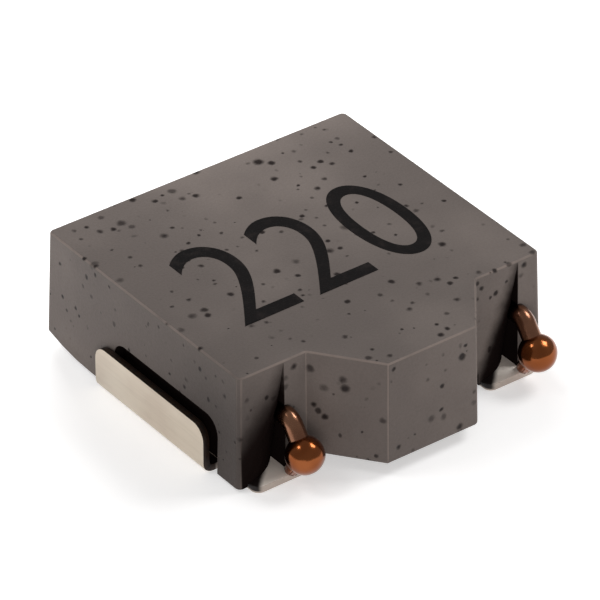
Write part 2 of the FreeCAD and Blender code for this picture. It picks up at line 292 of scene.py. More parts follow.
class Pattern:
    """Node tree of one finish, read on object coordinates in millimetres."""

    def __init__(self, name: str) -> None:
        """Start a material with its shader and its coordinates.

        Args:
            name: Name of the material.
        """
        self.material = bpy.data.materials.new(name)
        self.material.use_nodes = True
        self.tree = self.material.node_tree
        self.tree.nodes.clear()
        self.shader = self.add("BsdfPrincipled")
        self.wire(self.add("OutputMaterial"), Surface=self.shader.outputs["BSDF"])
        self.place = self.stretched(self.add("TexCoord").outputs["Object"], (1 / MM, 1 / MM, 1 / MM))
        self.x, self.y, self.z = self.wire(self.add("SeparateXYZ"), self.place).outputs

    def add(self, kind: str, **settings: object) -> bpy.types.Node:
        """New node.

        Args:
            kind: Its type, without the words that all types begin with.
            **settings: Its settings.

        Returns:
            The node.
        """
        node = self.tree.nodes.new("ShaderNode" + kind)
        for name, value in settings.items():
            setattr(node, name, value)
        return node

    def feed(self, socket: bpy.types.NodeSocket, value: object) -> None:
        """Link a socket to another one, or set its value.

        Args:
            socket: The socket.
            value: The other socket, or a number, colour or vector.
        """
        if isinstance(value, bpy.types.NodeSocket):
            self.tree.links.new(value, socket)
        elif isinstance(value, tuple) and len(value) == 3 and len(socket.default_value) == 4:
            socket.default_value = (*value, 1)
        else:
            socket.default_value = value

    def wire(self, node: bpy.types.Node, *values: object, **named: object) -> bpy.types.Node:
        """Feed a node's inputs.

        Args:
            node: The node.
            *values: What its first inputs take.
            **named: What other inputs take, by names written with underscores.

        Returns:
            The node.
        """
        for number, value in enumerate(values):
            self.feed(node.inputs[number], value)
        for name, value in named.items():
            self.feed(node.inputs[name.replace("_", " ")], value)
        return node

    def set(self, **named: object) -> None:
        """Feed the shader's inputs, by names written with underscores."""
        self.wire(self.shader, **named)

    def stretched(self, place: bpy.types.NodeSocket, scale: Point) -> bpy.types.NodeSocket:
        """A place, scaled along the axes."""
        return self.wire(self.add("Mapping"), Vector=place, Scale=scale).outputs["Vector"]

    def sum(self, operation: str, first: object, second: object = 0.0) -> bpy.types.NodeSocket:
        """Result of one operation of the Math node."""
        return self.wire(self.add("Math", operation=operation), first, second).outputs[0]

    def vectors(self, operation: str, *values: object) -> bpy.types.Node:
        """Node that holds the result of one operation of the Vector Math node."""
        return self.wire(self.add("VectorMath", operation=operation), *values)

    def minus(self, first: object, second: object) -> bpy.types.NodeSocket:
        """Difference of two values."""
        return self.sum("SUBTRACT", first, second)

    def times(self, first: object, second: object) -> bpy.types.NodeSocket:
        """Product of two values."""
        return self.sum("MULTIPLY", first, second)

    def larger(self, first: object, second: object) -> bpy.types.NodeSocket:
        """The larger of two values."""
        return self.sum("MAXIMUM", first, second)

    def raised(self, start: object, share: object, gain: float) -> bpy.types.NodeSocket:
        """The start, raised by the gain where the share is 1."""
        return self.sum("ADD", start, self.times(share, gain))

    def rest(self, share: object) -> bpy.types.NodeSocket:
        """What a share leaves of 1."""
        return self.minus(1.0, share)

    def rise(self, value: object, low: object, high: object) -> bpy.types.NodeSocket:
        """Smooth rise from 0 to 1 while the value goes from low to high."""
        node = self.add("MapRange", interpolation_type="SMOOTHSTEP")
        return self.wire(node, Value=value, From_Min=low, From_Max=high).outputs["Result"]

    def fall(self, value: object, low: object, high: object) -> bpy.types.NodeSocket:
        """Smooth fall from 1 to 0 while the value goes from low to high."""
        return self.rest(self.rise(value, low, high))

    def all_of(self, *shares: object) -> bpy.types.NodeSocket:
        """Product of several shares."""
        return reduce(self.times, shares)

    def any_of(self, *shares: object) -> bpy.types.NodeSocket:
        """Largest of several shares."""
        return reduce(self.larger, shares)

    def across(self) -> bpy.types.NodeSocket:
        """Distance from the part's middle plane."""
        return self.sum("ABSOLUTE", self.x)

    def distance(self, place: Point) -> bpy.types.NodeSocket:
        """Distance to a place, in millimetres."""
        return self.vectors("DISTANCE", self.place, place).outputs["Value"]

    def noise(self, noise: Noise, place: bpy.types.NodeSocket | None = None) -> bpy.types.NodeSocket:
        """One noise, 0 to 1.

        Args:
            noise: Which noise.
            place: Where it is read, or None for the coordinates.

        Returns:
            The socket that holds it.
        """
        node = self.wire(self.add("TexNoise"), Vector=place or self.place, Scale=noise.per_mm,
                         Detail=noise.detail, Roughness=noise.rough)
        plain = node.outputs["Fac"]
        return self.rise(plain, *noise.span) if noise.span else plain

    def ragged(self, noise: Noise, by_mm: float) -> bpy.types.NodeSocket:
        """Distance by which a soft edge wanders to both sides."""
        return self.times(self.minus(self.noise(noise), 0.5), by_mm)

    def shaken(self, per_mm: float, by_mm: float) -> bpy.types.NodeSocket:
        """The coordinates, moved about so that round things go ragged.

        Args:
            per_mm: Lumps to the millimetre of the noise that moves them.
            by_mm: How far it moves them, in millimetres.

        Returns:
            The socket that holds them.
        """
        cloud = self.wire(self.add("TexNoise"), Vector=self.place, Scale=per_mm)
        centred = self.vectors("SUBTRACT", cloud.outputs["Color"], (0.5, 0.5, 0.5))
        return self.vectors("MULTIPLY_ADD", centred.outputs[0], (by_mm, by_mm, by_mm),
                            self.place).outputs[0]

    def lay(self, share: object, below: object, above: object,
            blend: Blend = Blend.OVER) -> bpy.types.NodeSocket:
        """One colour laid over another.

        Args:
            share: How much of the upper colour shows.
            below: The lower colour or socket.
            above: The upper colour or socket.
            blend: How the upper one is laid on.

        Returns:
            The socket that holds the result.
        """
        node = self.add("Mix", data_type="RGBA", blend_type=blend.value)
        self.feed(node.inputs["Factor"], share)
        self.feed(node.inputs[6], below)
        self.feed(node.inputs[7], above)
        return node.outputs[2]

    def bump(self, height: object, depth_mm: float) -> None:
        """Give the shader a relief of so many millimetres."""
        relief = self.wire(self.add("Bump"), Strength=1.0, Distance=depth_mm * MM, Height=height)
        self.set(Normal=relief.outputs["Normal"])


@dataclass(frozen=True)
class Speckle:
    """One population of dark specks in the composite.

    Attributes:
        per_mm: Cells to the millimetre, which hold a speck each at most.
        radius: Radius of the largest speck, in millimetres.
        skew: How strongly small specks outnumber large ones.
        seed: Shift of the cells, so that populations don't line up.
        wander_per_mm: Lumps to the millimetre of the noise that makes the specks ragged.
        wander_mm: How far it moves their edges.
        crowd: Where the specks reach their full size.
        thin: Share of the size that they have elsewhere.
        core: Share of its radius in which a speck is dark all through.
        edge: Share of its radius at which a speck has faded out.
        blur: Least width of the fading edge, in cells.
        depth: Chances between which a speck goes from clear to dark.
    """

    per_mm: float
    radius: float
    skew: float
    seed: float
    wander_per_mm: float = 14
    wander_mm: float = 0.035
    crowd: Noise = Noise(0.8, 1.0, span=(0.36, 0.62))
    thin: float = 0.62
    core: float = 0.40
    edge: float = 1.1
    blur: float = 0.012
    depth: Span = (-0.8, 0.6)

    def share(self, pattern: Pattern) -> bpy.types.NodeSocket:
        """Share of dark speck.

        Args:
            pattern: Node tree to build in.

        Returns:
            The socket with the share, 0 to 1.
        """
        shaken = pattern.shaken(self.wander_per_mm, self.wander_mm)
        shift = pattern.wire(pattern.add("Mapping"), Vector=shaken,
                             Location=(self.seed, self.seed / 2, self.seed / 3))
        cells = pattern.wire(pattern.add("TexVoronoi"), Vector=shift.outputs["Vector"],
                             Scale=self.per_mm)
        chance = pattern.wire(pattern.add("SeparateColor"), Color=cells.outputs["Color"])
        crowd = pattern.raised(self.thin, pattern.noise(self.crowd), 1 - self.thin)
        size = pattern.sum("POWER", chance.outputs["Red"], self.skew)
        radius = pattern.all_of(size, self.radius * self.per_mm, crowd)
        inner = pattern.times(radius, self.core)
        outer = pattern.raised(self.blur, radius, self.edge)
        spot = pattern.fall(cells.outputs["Distance"], inner, outer)
        return pattern.times(spot, pattern.rise(chance.outputs["Green"], *self.depth))


@dataclass(frozen=True)
class NotchShadowEdge:
    """Slanted edge on the front face below which the composite gets painted shade, the shadow in a
    lead notch.

    Attributes:
        top_x: Where the edge meets the top height, in millimetres.
        top_z: Height of that point.
        slope: Rise of the edge for each millimetre along X.
        side: Lead whose notch has its flat wall there, where the painted shade ends.
        fade: Half width of the soft edge.
        wall_fade: Width of the crisp edge at the wall.
    """

    top_x: float
    top_z: float
    slope: float
    side: Side
    fade: float
    wall_fade: float = 0.012

    def share(self, pattern: Pattern, ragged: bpy.types.NodeSocket) -> bpy.types.NodeSocket:
        """Share of painted shade below the edge.

        Args:
            pattern: Node tree to build in.
            ragged: Distance by which the edge wanders.

        Returns:
            The socket with the share, 0 to 1.
        """
        run = pattern.times(pattern.minus(pattern.x, self.top_x), self.slope)
        drop = pattern.minus(run, pattern.minus(pattern.z, self.top_z))
        depth = pattern.sum("DIVIDE", drop, math.hypot(1, self.slope))
        below = pattern.rise(pattern.sum("ADD", depth, ragged), -self.fade, self.fade)
        wall_x = LEADS_X[self.side]
        return pattern.times(below, pattern.fall(pattern.x, wall_x, wall_x + self.wall_fade))


@dataclass(frozen=True)
class TongueShadow:
    """Painted shadow on the tongues: the corner behind a slanted line, below each notch.

    Attributes:
        behind: Distances behind the line, from clean to black.
        beside: Distances beside the lead, from black to clean.
        above: Heights from clean to black, which keep the underside clean.
        wander: Noise of the ragged edge.
        wander_mm: How far that edge wanders.
    """

    behind: Span = (0.20, 0.29)
    beside: Span = (0.50, 0.52)
    above: Span = (0.01, 0.03)
    wander: Noise = Noise(6)
    wander_mm: float = 0.05

    def share(self, pattern: Pattern) -> bpy.types.NodeSocket:
        """Share of painted shadow.

        Args:
            pattern: Node tree to build in.

        Returns:
            The socket with the share, 0 to 1.
        """
        ragged = pattern.ragged(self.wander, self.wander_mm)
        back = pattern.minus(pattern.y, FRONT_Y)
        corners = []
        for lead_x in LEADS_X.values():
            aside = pattern.minus(pattern.x, lead_x)
            run = pattern.sum("ADD", pattern.minus(back, aside), ragged)
            near = pattern.fall(pattern.sum("ABSOLUTE", aside), *self.beside)
            corners.append(pattern.times(pattern.rise(run, *self.behind), near))
        return pattern.all_of(pattern.any_of(*corners), pattern.fall(pattern.y, *TONGUE_Y),
                              pattern.rise(pattern.z, *self.above))


@dataclass(frozen=True)
class CompositeFinish:
    """Pressed iron-powder composite: warm grey, speckled, with painted shade in its notches, side
    pockets and front-left corner, and a painted highlight on its rims.
    """

    grey: Colour = srgb(99, 91, 87)
    pale: Colour = srgb(115, 106, 101)
    # Rim colour: a painted highlight on the rounded edges, broken up like worn chips.
    rim: Colour = srgb(146, 132, 124)
    speck: Colour = srgb(30, 22, 20)
    grain_shade: Colour = (0.93, 0.93, 0.93)
    clouds: Noise = Noise(0.55, 3.0, span=(0.35, 0.72))
    grain: Noise = Noise(38, 3.0, 0.6)
    grain_span: Span = (0.35, 0.75)
    rim_sheen_and_wear: Noise = Noise(2.5, 2.0, 0.7, (0.10, 0.60))
    rim_sheen_and_wear_strength: float = 0.50
    specks: tuple[Speckle, ...] = (
        Speckle(5.0, 0.070, 0.8, 0.0),
        Speckle(6.0, 0.050, 0.5, 7.3),
    )
    # Edges of the painted shadows in the two lead notches.
    shade_edges: tuple[NotchShadowEdge, ...] = (
        NotchShadowEdge(-1.30, 1.303, 1.20, Side.LEFT, 0.19),
        NotchShadowEdge(1.60, 1.352, 2.43, Side.RIGHT, 0.11),
    )
    shade_wander: Noise = Noise(5)
    shade_wander_mm: float = 0.10
    shade_y: Span = (-1.00, -0.92)
    shade_x: Span = (1.885, 1.905)
    shade_z: Span = (1.335, 1.355)
    # Painted shade, darker towards the front-left bottom corner.
    corner_shade_place: Point = (-2.10, -1.10, 0.40)
    corner_shade_reach: Span = (0.20, 1.50)
    corner_shade_strength: float = 0.52
    # Painted shade inside the side pockets around the plates.
    pocket_floor: Span = (1.78, 1.79)
    pocket_rim: Span = (1.905, 1.911)
    pocket_top: Span = (0.68, 0.69)
    pocket_front: Span = (-1.00, -0.995)
    pocket_back: Span = (0.84, 0.845)
    roughness: float = 0.58
    grain_roughness: float = 0.14
    shade_roughness: float = 0.2
    specular: float = 0.3
    pits: float = 1.2
    relief: float = 0.004

    def notch_and_pocket_shade(self, pattern: Pattern) -> bpy.types.NodeSocket:
        """Share of painted shade: beside the lead notches and inside the side pockets.

        Args:
            pattern: Node tree to build in.

        Returns:
            The socket with the share, 0 to 1.
        """
        across = pattern.across()
        ragged = pattern.ragged(self.shade_wander, self.shade_wander_mm)
        beside = pattern.all_of(
            pattern.any_of(*[edge.share(pattern, ragged) for edge in self.shade_edges]),
            pattern.fall(pattern.y, *self.shade_y),
            pattern.fall(across, *self.shade_x),
            pattern.fall(pattern.z, *self.shade_z),
        )
        inside = pattern.all_of(
            pattern.rise(across, *self.pocket_floor),
            pattern.fall(across, *self.pocket_rim),
            pattern.fall(pattern.z, *self.pocket_top),
            pattern.rise(pattern.y, *self.pocket_front),
            pattern.fall(pattern.y, *self.pocket_back),
        )
        return pattern.any_of(inside, beside)

    def corner_shade(self, pattern: Pattern) -> bpy.types.NodeSocket:
        """Share of painted shade that darkens the left face and front towards the front-left bottom
        corner, around the left notch.
        """
        near = pattern.fall(pattern.distance(self.corner_shade_place), *self.corner_shade_reach)
        return pattern.times(near, self.corner_shade_strength)

    def make(self) -> bpy.types.Material:
        """Build the finish.

        Returns:
            The material.
        """
        pattern = Pattern("pressed_composite")
        grain = pattern.noise(self.grain)
        rim = pattern.add("Attribute", attribute_name="rim").outputs["Fac"]
        # Painted rim highlight, with breaks like worn chips.
        rim_sheen_and_wear_share = pattern.times(rim, pattern.times(pattern.noise(self.rim_sheen_and_wear), self.rim_sheen_and_wear_strength))
        spots = pattern.any_of(*[specks.share(pattern) for specks in self.specks])
        # Painted shade: the notch shadows and the dark pocket interiors.
        black = self.notch_and_pocket_shade(pattern)
        ground = pattern.lay(pattern.noise(self.clouds), self.grey, self.pale)
        ground = pattern.lay(pattern.rise(grain, *self.grain_span), ground,
                             self.grain_shade, Blend.SHADE)
        for share, colour in ((rim_sheen_and_wear_share, self.rim), (spots, self.speck),
                              (self.corner_shade(pattern), PAINTED_SHADE), (black, PAINTED_SHADE)):
            ground = pattern.lay(share, ground, colour)
        rough = pattern.raised(self.roughness, grain, self.grain_roughness)
        rough = pattern.raised(rough, black, self.shade_roughness)
        shine = pattern.times(pattern.rest(black), self.specular)
        pattern.set(Base_Color=ground, Roughness=rough, Specular_IOR_Level=shine)
        pattern.bump(pattern.raised(grain, spots, -self.pits), self.relief)
        return pattern.material


@dataclass(frozen=True)
class CopperFinish:
    """Enamelled or fused copper: glossy, a little uneven, with painted shade inside the notch."""

    name: str
    deep: Colour
    warm: Colour
    roughness: float
    # Painted shade on the wire where it lies in the dark notch.
    dark: Colour = srgb(14, 8, 6)
    notch_shade_y: Span = (-1.40, -1.33)
    clouds: Noise = Noise(3.0, span=(0.35, 0.70))
    haze: Noise = Noise(18)
    haze_roughness: float = 0.10
    coat: float = 0.3
    coat_roughness: float = 0.10
    lumps: Noise = Noise(9)
    relief: float = 0.002

    def make(self) -> bpy.types.Material:
        """Build the finish.

        Returns:
            The material.
        """
        pattern = Pattern(self.name)
        base = pattern.lay(pattern.noise(self.clouds), self.deep, self.warm)
        # Painted shade towards the inside of the notch.
        base = pattern.lay(pattern.rise(pattern.y, *self.notch_shade_y), base, self.dark)
        rough = pattern.raised(self.roughness, pattern.noise(self.haze), self.haze_roughness)
        pattern.set(Base_Color=base, Roughness=rough, Metallic=1.0,
                    Coat_Weight=self.coat, Coat_Roughness=self.coat_roughness)
        pattern.bump(pattern.noise(self.lumps), self.relief)
        return pattern.material


@dataclass(frozen=True)
class TinFinish:
    """Tin-plated sheet: pale, warm, satin, with faint rolling marks; painted light on the tongues
    and painted shade in their shadows.
    """

    bright: Colour = srgb(214, 202, 184)
    dull: Colour = srgb(206, 192, 175)
    # Painted light: the tongues are paler and less metallic than the rest of the sheet.
    tongue: Colour = srgb(250, 242, 232)
    line_shade: Colour = (0.90, 0.89, 0.88)
    clouds: Noise = Noise(1.4, 3.0, span=(0.35, 0.75))
    lines: Noise = Noise(1.0, 3.0, 0.6)
    line_scale: Point = (30.0, 1.5, 30.0)
    line_span: Span = (0.4, 0.9)
    tongue_shadow: TongueShadow = TongueShadow()
    # Painted shade on the side plate's inner face, which faces the body.
    inner_from: Span = (1.80, 1.81)
    inner_to: Span = (1.95, 1.96)
    inner_z: Span = (0.03, 0.05)
    metallic: float = 0.35
    roughness: float = 0.36
    cloud_roughness: float = 0.12
    relief: float = 0.002

    def plate_and_tongue_shade(self, pattern: Pattern) -> bpy.types.NodeSocket:
        """Share of painted shade: a shadow on the tongues and on the side plate's inner face.

        Args:
            pattern: Node tree to build in.

        Returns:
            The socket with the share, 0 to 1.
        """
        across = pattern.across()
        inner = pattern.all_of(
            pattern.rise(across, *self.inner_from),
            pattern.fall(across, *self.inner_to),
            pattern.rise(pattern.z, *self.inner_z),
        )
        return pattern.any_of(inner, self.tongue_shadow.share(pattern))

    def make(self) -> bpy.types.Material:
        """Build the finish.

        Returns:
            The material.
        """
        pattern = Pattern("tinned_sheet")
        cloud = pattern.noise(self.clouds)
        lines = pattern.noise(self.lines, pattern.stretched(pattern.place, self.line_scale))
        # Painted light on the tongues.
        tongue = pattern.fall(pattern.y, *TONGUE_Y)
        base = pattern.lay(cloud, self.bright, self.dull)
        base = pattern.lay(pattern.rise(lines, *self.line_span), base,
                           self.line_shade, Blend.SHADE)
        base = pattern.lay(tongue, base, self.tongue)
        base = pattern.lay(self.plate_and_tongue_shade(pattern), base, PAINTED_SHADE)
        rough = pattern.raised(self.roughness, cloud, self.cloud_roughness)
        metal = pattern.times(pattern.rest(tongue), self.metallic)
        pattern.set(Base_Color=base, Roughness=rough, Metallic=metal)
        pattern.bump(lines, self.relief)
        return pattern.material


@dataclass(frozen=True)
class CutEdgeFinish:
    """Cut edge of the sheet: bare and brown on the side plate, tinned on the tongue, with painted
    shadow there.
    """

    brown: Colour = srgb(44, 28, 18)
    dark: Colour = srgb(20, 14, 11)
    tin: Colour = srgb(196, 184, 174)
    bare: Span = (1.84, 1.88)
    streaks: Noise = Noise(16, 3.0, 0.6, (0.35, 0.70))
    tongue_shadow: TongueShadow = TongueShadow()
    metallic: float = 0.4
    roughness: float = 0.42
    streak_roughness: float = 0.15
    relief: float = 0.002

    def make(self) -> bpy.types.Material:
        """Build the finish.

        Returns:
            The material.
        """
        pattern = Pattern("bare_cut_edge")
        streaks = pattern.noise(self.streaks)
        base = pattern.lay(streaks, self.brown, self.dark)
        base = pattern.lay(pattern.fall(pattern.across(), *self.bare), base, self.tin)
        # Painted shadow on the tongues' cut edges.
        base = pattern.lay(self.tongue_shadow.share(pattern), base, PAINTED_SHADE)
        rough = pattern.raised(self.roughness, streaks, self.streak_roughness)
        pattern.set(Base_Color=base, Roughness=rough, Metallic=self.metallic)
        pattern.bump(streaks, self.relief)
        return pattern.material


@dataclass(frozen=True)
class InkFinish:
    """Stamped black ink, a little thin in places."""

    ink: Colour = srgb(15, 12, 12)
    thin: Colour = srgb(34, 29, 28)
    patches: Noise = Noise(7, 3.0, 0.65, (0.48, 0.78))
    grain: Noise = Noise(38, 3.0, 0.6)
    roughness: float = 0.55
    patch_roughness: float = 0.15
    specular: float = 0.15
    relief: float = 0.003

    def make(self) -> bpy.types.Material:
        """Build the finish.

        Returns:
            The material.
        """
        pattern = Pattern("stamped_ink")
        patches = pattern.noise(self.patches)
        rough = pattern.raised(self.roughness, patches, self.patch_roughness)
        pattern.set(Base_Color=pattern.lay(patches, self.ink, self.thin), Roughness=rough,
                    Specular_IOR_Level=self.specular)
        pattern.bump(pattern.noise(self.grain), self.relief)
        return pattern.material


ENAMEL = CopperFinish("enamelled_copper", srgb(126, 82, 61), srgb(152, 107, 81), 0.20)
FUSED = CopperFinish("fused_copper", srgb(132, 68, 26), srgb(150, 84, 42), 0.13)


def finish_piece(bench: Bench, slot: str, materials: list[bpy.types.Material],
                 *nodes: str) -> None:
    """Dress a finished piece and tie it to the frame.

    Args:
        bench: The piece.
        slot: The record's slot that the finish stands for; not used.
        materials: Its finishes, in the order of the faces' numbers.
        *nodes: CAD nodes that the piece stands for.
    """
    piece = bench.piece
    while len(piece.data.materials) < len(materials):
        piece.data.materials.append(None)
    for number, material in enumerate(materials):
        piece.data.materials[number] = material
    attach(piece, BODY)
    if nodes:
        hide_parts(*nodes)
    LOG.info("%s: %d faces", piece.name, len(piece.data.polygons))


@dataclass
class PressedBlock:
    """The composite block: the CAD solid's form, merged, with its rims marked for a painted
    highlight and wear.

    Attributes:
        source: The CAD node's mesh.
        merge: Points nearer than this are one.
        flat_angle: Faces that meet at less than this many degrees are one.
        crisp_angle: Edges sharper than this many degrees stay crisp.
        broad: Side of the smallest square that counts as a flat face.
        bay_depth: How far the bay stands out.
        bay_widths: Width of the bay at its foot and at its front.
        rim_tilt: Cosine below which a face leans away from every broad one.
        rim_side: Side of the square that a rim's face stays below.
        rim_floor: Height above which rims get the painted highlight and wear.
        rim_upper: Height of the top face's rim.
        rim_corner_x: Distance from the middle of the upright rims at the corners.
        rim_corner_y: Where those rims begin, at the front and at the back.
        rim_bay_y: Where the bay's rims begin.
    """

    source: bpy.types.Object
    merge: float = 0.0002
    flat_angle: float = 0.4
    crisp_angle: float = 25
    broad: float = 0.10
    bay_depth: float = 0.67
    bay_widths: tuple[float, float] = (2.15, 1.11)
    rim_tilt: float = 0.95
    rim_side: float = 0.35
    rim_floor: float = 0.2
    rim_upper: float = 1.34
    rim_corner_x: float = 1.83
    rim_corner_y: Span = (-1.26, 1.93)
    rim_bay_y: float = -1.33

    def main_directions(self) -> list[Vector]:
        """Find which way the block's broad faces look.

        Returns:
            Their normals.
        """
        foot, front = self.bay_widths
        slant = math.atan2(self.bay_depth, (foot - front) / 2)
        return [
            Vector((0, 0, 1)), Vector((0, 0, -1)), Vector((0, -1, 0)), Vector((0, 1, 0)),
            Vector((-1, 0, 0)), Vector((1, 0, 0)),
            Vector((-math.sin(slant), -math.cos(slant), 0)),
            Vector((math.sin(slant), -math.cos(slant), 0)),
        ]

    def mark_rims(self, bench: Bench) -> None:
        """Mark the narrow faces of the rounded edges, for the finish to lighten them with a painted
        highlight and wear.

        Args:
            bench: The block.
        """
        mesh = bench.piece.data
        rim = mesh.attributes.new("rim", "FLOAT", "FACE")
        directions = self.main_directions()
        for face in mesh.polygons:
            tilt = max(face.normal.dot(direction) for direction in directions)
            narrow = face.area < (self.rim_side * MM) ** 2
            outside = self.on_outline(face.center / MM)
            rim.data[face.index].value = float(tilt < self.rim_tilt and narrow and outside)

    def on_outline(self, place: Vector) -> bool:
        """Tell an outer edge from one in a notch or inside the block.

        Args:
            place: A place on an edge, in millimetres.

        Returns:
            Whether it is on an outer edge.
        """
        front, back = self.rim_corner_y
        upper = place.z > self.rim_upper
        corner = abs(place.x) > self.rim_corner_x and (place.y < front or place.y > back)
        bay = place.y < self.rim_bay_y
        return place.z > self.rim_floor and (upper or corner or bay)

    def build(self, material: bpy.types.Material) -> Bench:
        """The dressed block.

        Args:
            material: Its finish.

        Returns:
            The bench with the block.
        """
        Bench(self.source).focus()
        bpy.ops.object.duplicate()
        bench = Bench.latest("pressed_block")
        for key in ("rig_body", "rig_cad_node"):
            if key in bench.piece:
                del bench.piece[key]
        bench.piece.parent = None
        bpy.ops.mesh.customdata_custom_splitnormals_clear()
        bench.edit_all()
        bpy.ops.mesh.remove_doubles(threshold=self.merge * MM)
        bpy.ops.mesh.dissolve_limited(angle_limit=math.radians(self.flat_angle))
        bench.done()
        bench.smooth(self.crisp_angle)
        bench.edit()
        bench.pick(Kind.FACE, lambda face: face.area > (self.broad * MM) ** 2)
        bpy.ops.mesh.faces_shade_flat()
        bench.done()
        self.mark_rims(bench)
        finish_piece(bench, "composite", [material], "moulded_body")
        return bench


@dataclass(frozen=True)
class Run:
    """Straight stretch of wire between two points in millimetres."""

    start: Vector
    end: Vector

    def back(self) -> "Run":
        """The same stretch, the other way."""
        return Run(self.end, self.start)

    def draw(self) -> None:
        """Extrude the selected ring along the stretch."""
        Bench.extrude(self.end - self.start)


@dataclass(frozen=True)
class Arc:
    """Round stretch of wire through three points in millimetres."""

    start: Vector
    middle: Vector
    end: Vector
    steps: int

    def back(self) -> "Arc":
        """The same stretch, the other way."""
        return Arc(self.end, self.middle, self.start, self.steps)

    def centre(self) -> Vector:
        """Find the middle of the arc's circle.

        Returns:
            The circle's centre.
        """
        to_middle = self.middle - self.start
        to_end = self.end - self.start
        normal = to_middle.cross(to_end)
        offset = (to_end.length_squared * normal.cross(to_middle)
                  + to_middle.length_squared * to_end.cross(normal))
        return self.start + offset / (2 * normal.length_squared)

    def draw(self) -> None:
        """Spin the selected ring about the arc's centre."""
        centre = self.centre()
        axis = (self.middle - self.start).cross(self.end - self.start).normalized()
        first = self.start - centre
        last = self.end - centre
        angle = math.atan2(axis.dot(first.cross(last)), first.dot(last)) % (2 * math.pi)
        Bench.spin(self.steps, angle, centre, axis)


@dataclass
class WireWinding:
    """The round wire: two flat spiral layers and both leads, as one bar."""

    diameter: float = 0.21
    turn_gap: float = 0.01
    turns: int = 3
    outer_radius: float = 1.485
    middle_z: float = 0.70
    centre_y: float = 0.28
    crossover_gap: float = 0.04
    lead_z: float = 0.735
    lead_straight: float = 0.50
    bend_ahead: float = 0.12
    bend_radius: float = 0.15
    jog_radius: float = 1.00
    bead_shift: float = 0.015
    bead_ahead: float = 0.34
    bead_z: float = 0.411
    sides: int = 24
    turn_steps: int = 30
    jog_steps: int = 10
    bend_steps: int = 14
    crisp_angle: float = 40

    @property
    def pitch(self) -> float:
        """Distance between neighbouring turns."""
        return self.diameter + self.turn_gap

    def crossings(self) -> list[float]:
        """Find where the wire crosses the coil's X axis.

        Returns:
            Places along the axis, from the left lead to the right one.
        """
        found = []
        for turn in range(self.turns):
            found.append(-(self.outer_radius - turn * self.pitch))
            found.append(self.outer_radius - (turn + 0.5) * self.pitch)
        found.append(-(self.outer_radius - self.turns * self.pitch - self.crossover_gap))
        return found + [-x for x in reversed(found)]

    def half_turns(self) -> list[Arc]:
        """Lay out both layers.

        Returns:
            Their half turns, with the tilted one that joins them.
        """
        found = self.crossings()
        crossover = len(found) // 2 - 1
        low = self.middle_z - self.pitch / 2
        high = self.middle_z + self.pitch / 2
        arcs = []
        for index in range(len(found) - 1):
            start = Vector((found[index], self.centre_y, low if index <= crossover else high))
            end = Vector((found[index + 1], self.centre_y, low if index < crossover else high))
            bulge = (end - start).length / 2
            towards = 1 if index % 2 == 0 else -1
            middle = (start + end) / 2 + Vector((0, towards * bulge, 0))
            arcs.append(Arc(start, middle, end, self.turn_steps))
        return arcs

    def jog(self, start: Vector, across: Vector) -> list[Arc]:
        """Two arcs that carry a wire running forwards aside.

        Args:
            start: Where the first arc begins.
            across: How far it is carried, at right angles to its run.

        Returns:
            The arcs.
        """
        turn = math.acos(1 - across.length / (2 * self.jog_radius))
        run = 2 * self.jog_radius * math.sin(turn)
        ahead = Vector((0, -1, 0))
        step = (ahead * (self.jog_radius * math.sin(turn / 2))
                + across.normalized() * (self.jog_radius * (1 - math.cos(turn / 2))))
        half = start + ahead * (run / 2) + across / 2
        finish = start + ahead * run + across
        return [Arc(start, start + step, half, self.jog_steps),
                Arc(half, finish - step, finish, self.jog_steps)]

    def bead_centre(self, side: Side) -> Vector:
        """Middle of a lead's weld bead."""
        return Vector((LEADS_X[side] + self.bead_shift, FRONT_Y - self.bead_ahead, self.bead_z))

    def lead(self, side: Side, start: Vector) -> list[Run | Arc]:
        """One lead from the coil to its bead.

        Args:
            side: Which lead.
            start: Where it leaves the coil.

        Returns:
            Its stretches in order.
        """
        jog_start = start - Vector((0, self.lead_straight, 0))
        jog = self.jog(jog_start, Vector((LEADS_X[side] - start.x, 0, self.lead_z - start.z)))
        finish = jog[-1].end
        corner = Vector((LEADS_X[side], FRONT_Y - self.bend_ahead, self.lead_z))
        after = self.bead_centre(side)
        leg_in = (finish - corner).normalized()
        leg_out = (after - corner).normalized()
        half = leg_in.angle(leg_out) / 2
        tangent = self.bend_radius / math.tan(half)
        towards = (leg_in + leg_out).normalized()
        centre = corner + towards * (self.bend_radius / math.sin(half))
        bend = Arc(corner + leg_in * tangent, centre - towards * self.bend_radius,
                   corner + leg_out * tangent, self.bend_steps)
        return [Run(start, jog_start), *jog, Run(finish, bend.start), bend, Run(bend.end, after)]

    def stretches(self) -> list[Run | Arc]:
        """Lay out the whole wire.

        Returns:
            Its stretches, from the left bead to the right one.
        """
        turns = self.half_turns()
        left = self.lead(Side.LEFT, turns[0].start)
        right = self.lead(Side.RIGHT, turns[-1].end)
        return [stretch.back() for stretch in reversed(left)] + turns + right

    def build(self, material: bpy.types.Material) -> Bench:
        """Sweep a ring along the whole wire.

        Args:
            material: Its finish.

        Returns:
            The bench with the wire.
        """
        stretches = self.stretches()
        start = stretches[0].start
        along = (stretches[0].end - start).normalized()
        Bench.clear()
        bpy.ops.mesh.primitive_circle_add(
            vertices=self.sides, radius=self.diameter / 2 * MM, fill_type="NGON",
            location=metres(start), rotation=along.to_track_quat("Z", "Y").to_euler())
        bench = Bench.latest("copper_wire")
        bench.settle()
        bench.edit_all()
        bpy.ops.mesh.select_mode(type=Kind.FACE.name)
        for stretch in stretches:
            stretch.draw()
        bench.close_up()
        bench.smooth(self.crisp_angle)
        finish_piece(bench, "copper_wire", [material], "winding")
        return bench


